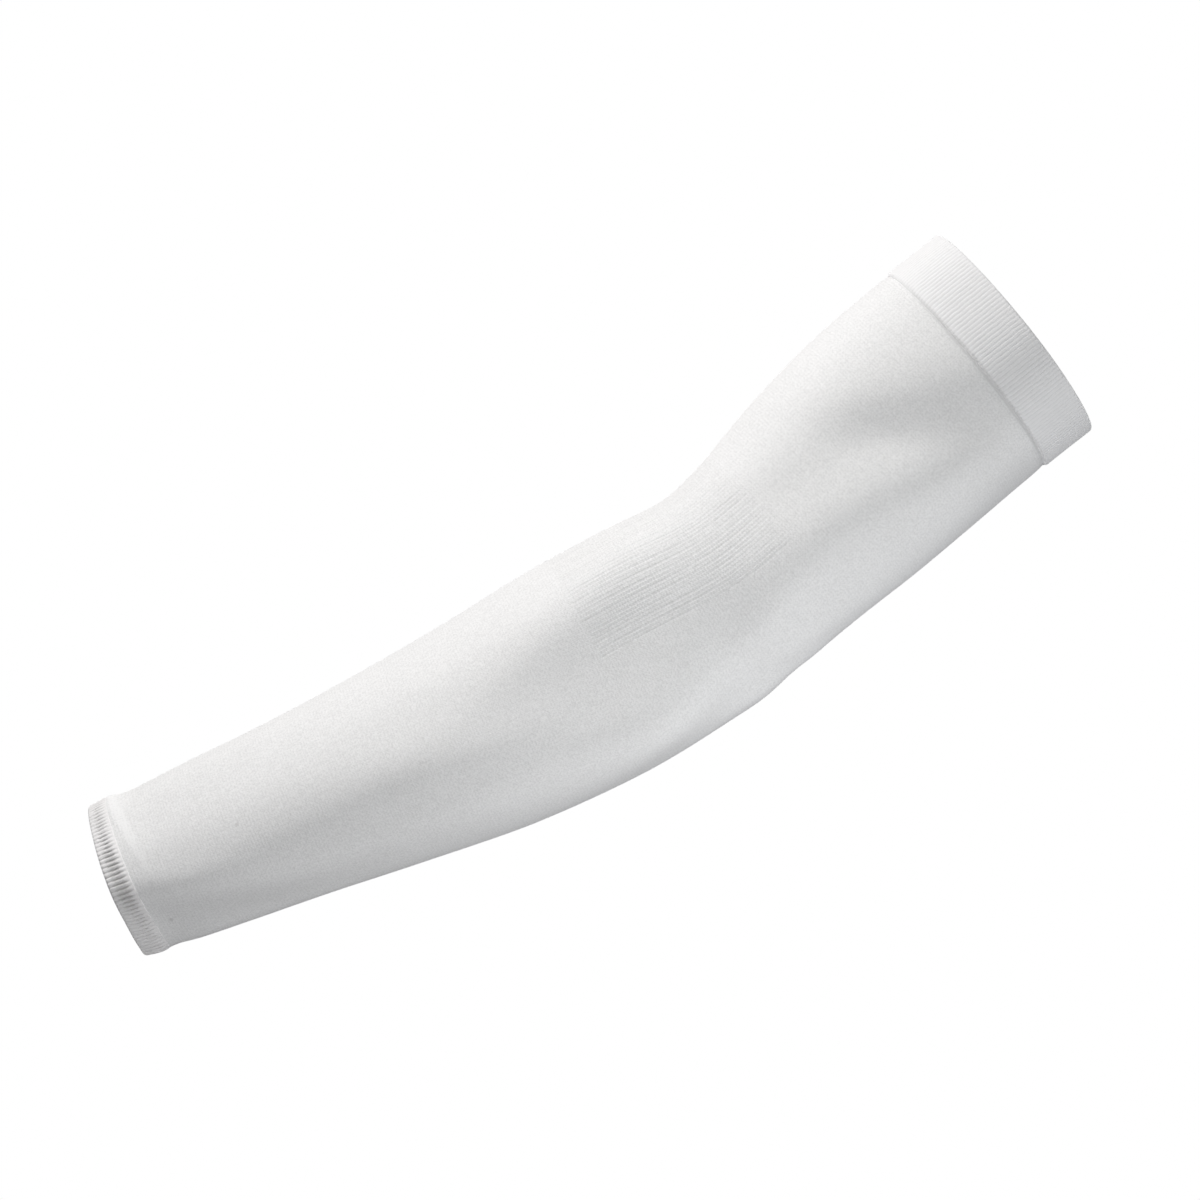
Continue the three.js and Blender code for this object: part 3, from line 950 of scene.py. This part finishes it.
def soft_light(name, size, power, colour):
    """A square soft light that shines straight down and isn't seen itself."""
    lamp = bpy.data.lights.new(name, "AREA")
    lamp.size = size
    lamp.energy = power
    lamp.color = colour
    made = bpy.data.objects.new(name, lamp)
    bpy.context.scene.collection.objects.link(made)
    made.visible_camera = False
    return made


def floor():
    """A round floor with a light of its own, which throws no light back up at the sleeve."""
    bpy.ops.mesh.primitive_circle_add(
        vertices=96, radius=FLOOR_RADIUS, fill_type="NGON", location=FLOOR_PLACE)
    made = bpy.context.object
    made.name = "floor"
    made.visible_diffuse = False
    made.data.materials.append(floor_finish())
    lamp = soft_light("floor_light", 2 * FLOOR_RADIUS, FLOOR_LIGHT_POWER, WHITE)
    lamp.location = FLOOR_PLACE + Vector((0.0, 0.0, FLOOR_LIGHT_HEIGHT))


def white_surround(strength):
    """A surround that looks white and lights the sleeve a little from all sides."""
    world = bpy.data.worlds.new("white_surround")
    world.use_nodes = True
    tree = world.node_tree
    lit = tree.nodes["Background"]
    lit.inputs["Color"].default_value = (*WHITE, 1.0)
    lit.inputs["Strength"].default_value = strength
    seen = add_node(tree, "ShaderNodeBackground", {"Color": (*WHITE, 1.0), "Strength": 1.0})
    path = tree.nodes.new("ShaderNodeLightPath")
    both = tree.nodes.new("ShaderNodeMixShader")
    feed(tree, both.inputs[0], path.outputs["Is Camera Ray"])
    feed(tree, both.inputs[1], lit.outputs["Background"])
    feed(tree, both.inputs[2], seen.outputs["Background"])
    feed(tree, tree.nodes["World Output"].inputs["Surface"], both.outputs[0])
    bpy.context.scene.world = world


# Soft lights: direction from the sleeve's middle, distance and side in metres, power in watts, colour
Light = namedtuple("Light", "direction distance size power colour")
LIGHTS = {
    "key": Light((0.05, -0.21, 0.98), 0.9, 0.25, 8.40, (1.0, 0.988, 0.986)),
    "low_front": Light((-0.40, -0.94, -0.34), 0.9, 0.25, 1.86, (0.979, 0.979, 1.0)),
    "near_front": Light((0.05, -0.82, -0.57), 0.5, 0.15, 0.26, (0.98, 1.0, 0.98)),
    "near_low": Light((0.30, -0.42, -0.90), 0.5, 0.15, 0.18, (0.77, 0.84, 1.0)),
    "elbow_low": Light((0.14, -0.62, -0.77), 0.4, 0.12, 0.44, (1.0, 0.99, 0.98)),
    "right_fill": Light((0.85, -0.50, 0.10), 0.9, 0.25, 0.40, (0.95, 1.0, 0.98)),
    "right_side": Light((0.97, -0.22, -0.10), 0.9, 0.25, 1.30, WHITE),
    "upper_mouth": Light((0.85, 0.52, 0.0), 0.9, 0.25, 3.0, WHITE),
    "wrist_mouth": Light((-0.86, 0.50, -0.10), 0.9, 0.25, 2.5, WHITE),
    "back": Light((0.0, 1.0, 0.15), 1.2, 0.8, 4.0, WHITE),
}


def sleeve_light(name, light):
    """A soft light that looks at the middle of the sleeve."""
    lamp = soft_light(name, light.size, light.power, light.colour)
    away = Vector(light.direction).normalized()
    lamp.location = VIEW_CENTRE + light.distance * away
    lamp.rotation_euler = away.to_track_quat("Z", "Y").to_euler()


floor()
white_surround(SURROUND_STRENGTH)
for light_name, light in LIGHTS.items():
    sleeve_light(light_name, light)
bpy.context.scene.view_settings.view_transform = "Standard"
